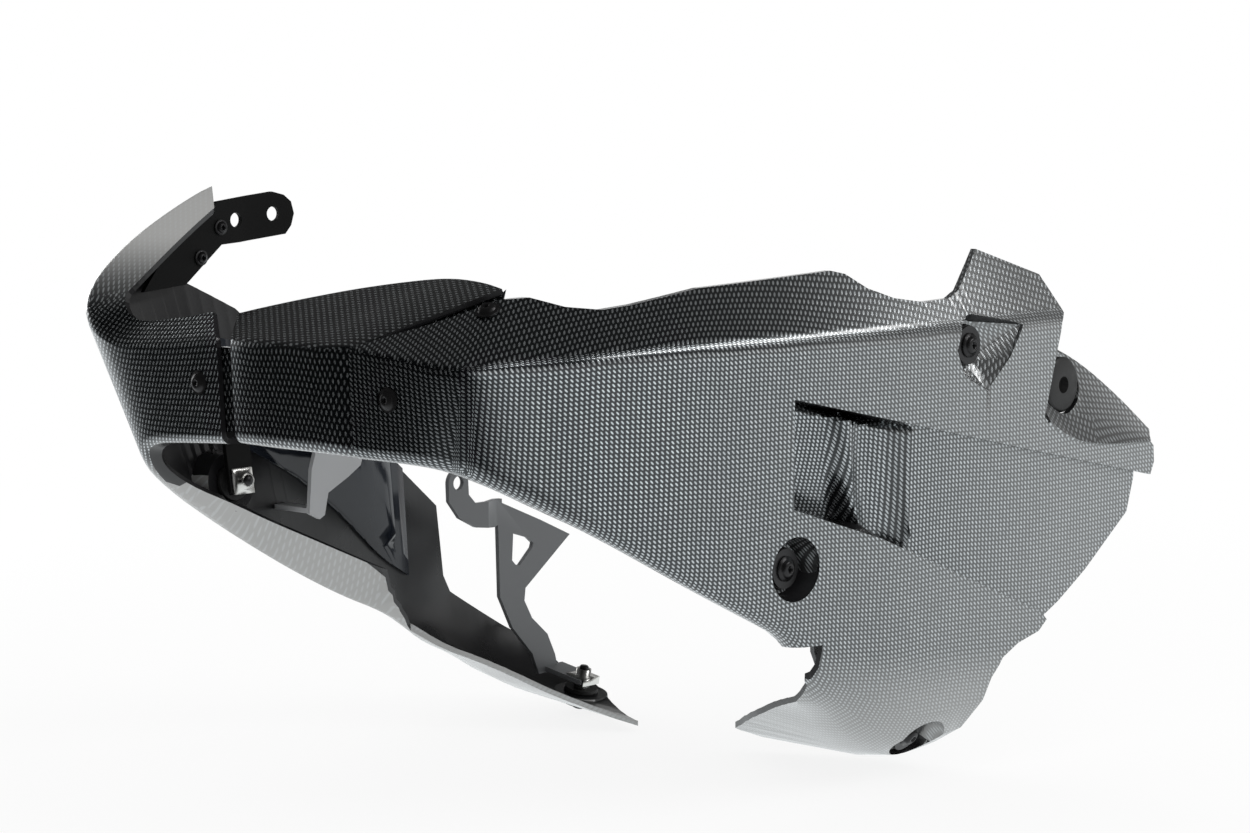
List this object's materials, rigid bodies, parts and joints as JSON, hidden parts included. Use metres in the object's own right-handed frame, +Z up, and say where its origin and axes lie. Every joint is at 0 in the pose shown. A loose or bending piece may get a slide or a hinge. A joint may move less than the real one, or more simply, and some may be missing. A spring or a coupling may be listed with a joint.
{
  "type": "motorcycle belly pan",
  "caption": "Belly pan for a motorcycle engine: creased carbon-look side panels, a nose piece, vent inserts, recessed mounts with grommets, and steel brackets.",
  "frame": {"origin": "middle of the front hole of the upper tab bracket, inside the right panel's arm, halfway through the sheet", "axes": "+X rearward along the motorcycle, +Y to the rider's right, +Z up"},
  "size_m": [0.5246, 0.3855, 0.3353],
  "materials": {
    "carbon_look_film": "satin clear film with a raised-looking carbon weave print on black ABS",
    "gloss_black_plastic": "smooth gloss black moulding",
    "black_steel": "matt black powder coat",
    "dark_grey_steel": "satin dark grey paint",
    "light_grey_steel": "satin light grey paint",
    "black_screw_steel": "black oxide, slightly shiny",
    "zinc_steel": "zinc-plated spring steel",
    "black_rubber": "moulded rubber"
  },
  "bodies": {
    "root": {"nose_piece": "carbon_look_film", "left_panel": "carbon_look_film", "right_panel": "carbon_look_film", "left_vent_insert": "carbon_look_film", "right_vent_insert": "gloss_black_plastic", "upper_tab_bracket": "black_steel", "inner_nose_bracket": "light_grey_steel", "right_front_bracket": "black_steel", "rear_lower_bracket": "dark_grey_steel", "left_upper_bracket": "black_steel", "left_middle_bracket": "black_steel", "left_lower_bracket": "dark_grey_steel", "nose_screws": "black_screw_steel", "nose_nuts": "zinc_steel", "top_flange_screw": "black_screw_steel", "top_flange_nut": "zinc_steel", "mount_bolts": "black_screw_steel", "mount_washers": "black_screw_steel", "panel_grommets": "black_rubber", "spacer_sleeves": "zinc_steel", "clip_nuts": "zinc_steel", "rear_side_grommet": "black_rubber", "bracket_screws": "black_screw_steel"}
  },
  "joints": []
}
